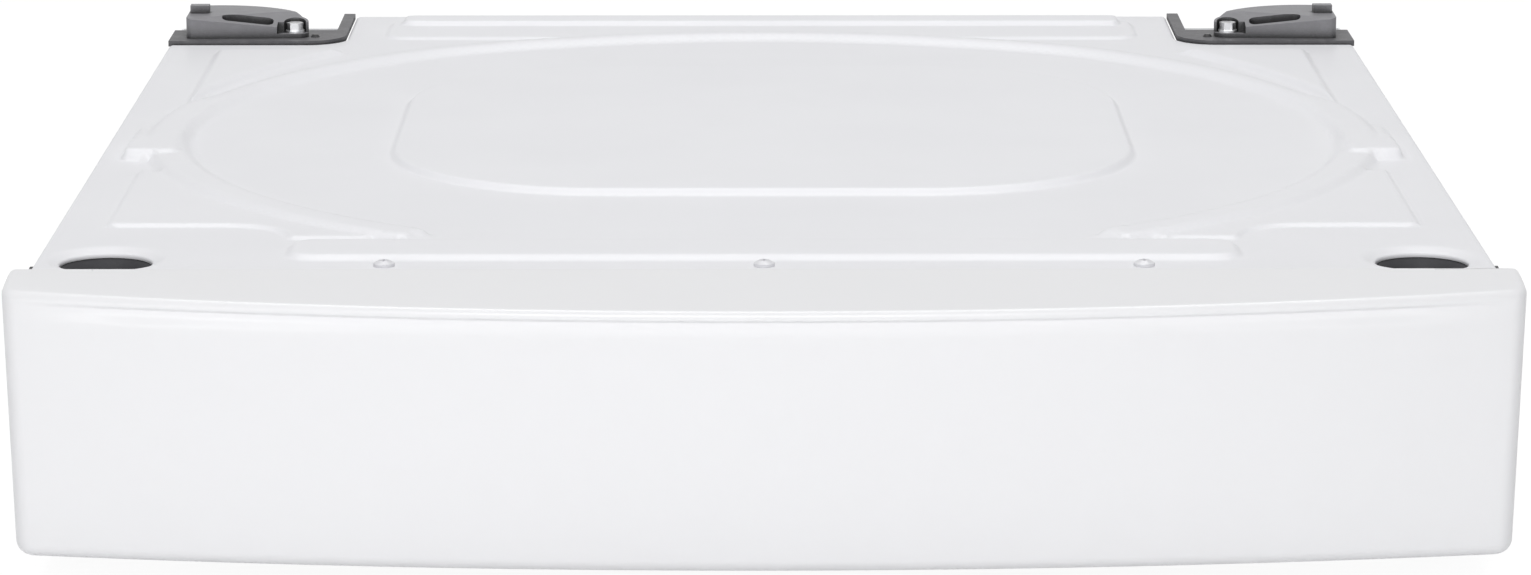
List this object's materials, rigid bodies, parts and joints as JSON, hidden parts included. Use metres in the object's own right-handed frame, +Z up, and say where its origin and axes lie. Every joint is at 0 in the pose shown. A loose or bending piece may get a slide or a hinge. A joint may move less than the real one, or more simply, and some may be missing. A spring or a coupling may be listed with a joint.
{
  "type": "laundry pedestal",
  "caption": "Low white steel pedestal for a washer or dryer: pressed deck, bowed front panel, rear foot clamps and levelling legs.",
  "frame": {"origin": "on the floor under the middle of the pedestal's outline", "axes": "+X to the right seen from the front, +Y to the rear, +Z up; the bowed front panel faces -Y"},
  "size_m": [0.706, 0.8126, 0.1625],
  "materials": {
    "white_enamel": "satin enamel",
    "white_panel": "smooth gloss enamel",
    "galvanised_sheet": "galvanised",
    "dark_grey_steel": "satin coat",
    "dark_grey_moulding": "fine moulded grain",
    "zinc_plate": "bright zinc plate",
    "white_screw": "painted head",
    "black_fixing": "black oxide",
    "clip_nylon": "natural nylon",
    "foot_rubber": "matt"
  },
  "bodies": {
    "chassis": {"clamp_base_screws": "black_fixing", "deck_screws": "white_screw", "front_left_foot_cup": "dark_grey_moulding", "front_left_leg_bracket": "galvanised_sheet", "front_panel": "white_panel", "front_rail": "white_enamel", "front_right_foot_cup": "dark_grey_moulding", "front_right_leg_bracket": "galvanised_sheet", "left_clamp_base": "dark_grey_steel", "left_deck_stiffener": "galvanised_sheet", "left_side_panel": "white_enamel", "panel_clips": "clip_nylon", "pivot_bolts": "zinc_plate", "pivot_nuts": "zinc_plate", "pivot_washers": "zinc_plate", "rear_left_leg_bracket": "galvanised_sheet", "rear_panel": "white_enamel", "rear_right_leg_bracket": "galvanised_sheet", "rear_screws": "white_screw", "right_clamp_base": "dark_grey_steel", "right_deck_stiffener": "galvanised_sheet", "right_side_panel": "white_enamel", "side_screws": "black_fixing", "top_deck": "white_enamel", "weld_nuts": "zinc_plate"},
    "left_lever": {"left_clamp_lever": "dark_grey_moulding"},
    "right_lever": {"right_clamp_lever": "dark_grey_moulding"},
    "front_left_foot": {"front_left_foot_pad": "foot_rubber"},
    "front_left_stem": {"front_left_leg_stem": "zinc_plate"},
    "front_left_nut": {"front_left_lock_nut": "zinc_plate"},
    "front_right_foot": {"front_right_foot_pad": "foot_rubber"},
    "front_right_stem": {"front_right_leg_stem": "zinc_plate"},
    "front_right_nut": {"front_right_lock_nut": "zinc_plate"},
    "rear_left_foot": {"rear_left_foot_pad": "foot_rubber"},
    "rear_left_stem": {"rear_left_leg_stem": "zinc_plate"},
    "rear_left_nut": {"rear_left_lock_nut": "zinc_plate"},
    "rear_right_foot": {"rear_right_foot_pad": "foot_rubber"},
    "rear_right_stem": {"rear_right_leg_stem": "zinc_plate"},
    "rear_right_nut": {"rear_right_lock_nut": "zinc_plate"}
  },
  "joints": [
    {"name": "left_lever_swing", "type": "hinge", "parent": "chassis", "child": "left_lever", "pos_m": [-0.273, 0.3221, 0.146], "axis": [0, 0, -1], "range_deg": [0, 60]},
    {"name": "right_lever_swing", "type": "hinge", "parent": "chassis", "child": "right_lever", "pos_m": [0.273, 0.3221, 0.146], "axis": [0, 0, 1], "range_deg": [0, 60]},
    {"name": "front_left_height", "type": "slide", "parent": "chassis", "child": "front_left_foot", "axis": [0, 0, -1], "range_m": [0, 0.034]},
    {"name": "front_left_stem_turn", "type": "hinge", "parent": "front_left_foot", "child": "front_left_stem", "pos_m": [-0.3, -0.2574, 0.013], "axis": [0, 0, -1], "range_deg": [0, 7200]},
    {"name": "front_left_nut_turn", "type": "hinge", "parent": "chassis", "child": "front_left_nut", "pos_m": [-0.3, -0.2574, 0.027], "axis": [0, 0, 1], "continuous": true},
    {"name": "front_right_height", "type": "slide", "parent": "chassis", "child": "front_right_foot", "axis": [0, 0, -1], "range_m": [0, 0.034]},
    {"name": "front_right_stem_turn", "type": "hinge", "parent": "front_right_foot", "child": "front_right_stem", "pos_m": [0.3, -0.2574, 0.013], "axis": [0, 0, -1], "range_deg": [0, 7200]},
    {"name": "front_right_nut_turn", "type": "hinge", "parent": "chassis", "child": "front_right_nut", "pos_m": [0.3, -0.2574, 0.027], "axis": [0, 0, 1], "continuous": true},
    {"name": "rear_left_height", "type": "slide", "parent": "chassis", "child": "rear_left_foot", "axis": [0, 0, -1], "range_m": [0, 0.034]},
    {"name": "rear_left_stem_turn", "type": "hinge", "parent": "rear_left_foot", "child": "rear_left_stem", "pos_m": [-0.3, 0.3356, 0.013], "axis": [0, 0, -1], "range_deg": [0, 7200]},
    {"name": "rear_left_nut_turn", "type": "hinge", "parent": "chassis", "child": "rear_left_nut", "pos_m": [-0.3, 0.3356, 0.027], "axis": [0, 0, 1], "continuous": true},
    {"name": "rear_right_height", "type": "slide", "parent": "chassis", "child": "rear_right_foot", "axis": [0, 0, -1], "range_m": [0, 0.034]},
    {"name": "rear_right_stem_turn", "type": "hinge", "parent": "rear_right_foot", "child": "rear_right_stem", "pos_m": [0.3, 0.3356, 0.013], "axis": [0, 0, -1], "range_deg": [0, 7200]},
    {"name": "rear_right_nut_turn", "type": "hinge", "parent": "chassis", "child": "rear_right_nut", "pos_m": [0.3, 0.3356, 0.027], "axis": [0, 0, 1], "continuous": true}
  ],
  "couplings": [
    {"joint": "front_left_stem_turn", "follows": "front_left_height", "rad_per_m": 3590.4},
    {"joint": "front_right_stem_turn", "follows": "front_right_height", "rad_per_m": 3590.4},
    {"joint": "rear_left_stem_turn", "follows": "rear_left_height", "rad_per_m": 3590.4},
    {"joint": "rear_right_stem_turn", "follows": "rear_right_height", "rad_per_m": 3590.4}
  ]
}
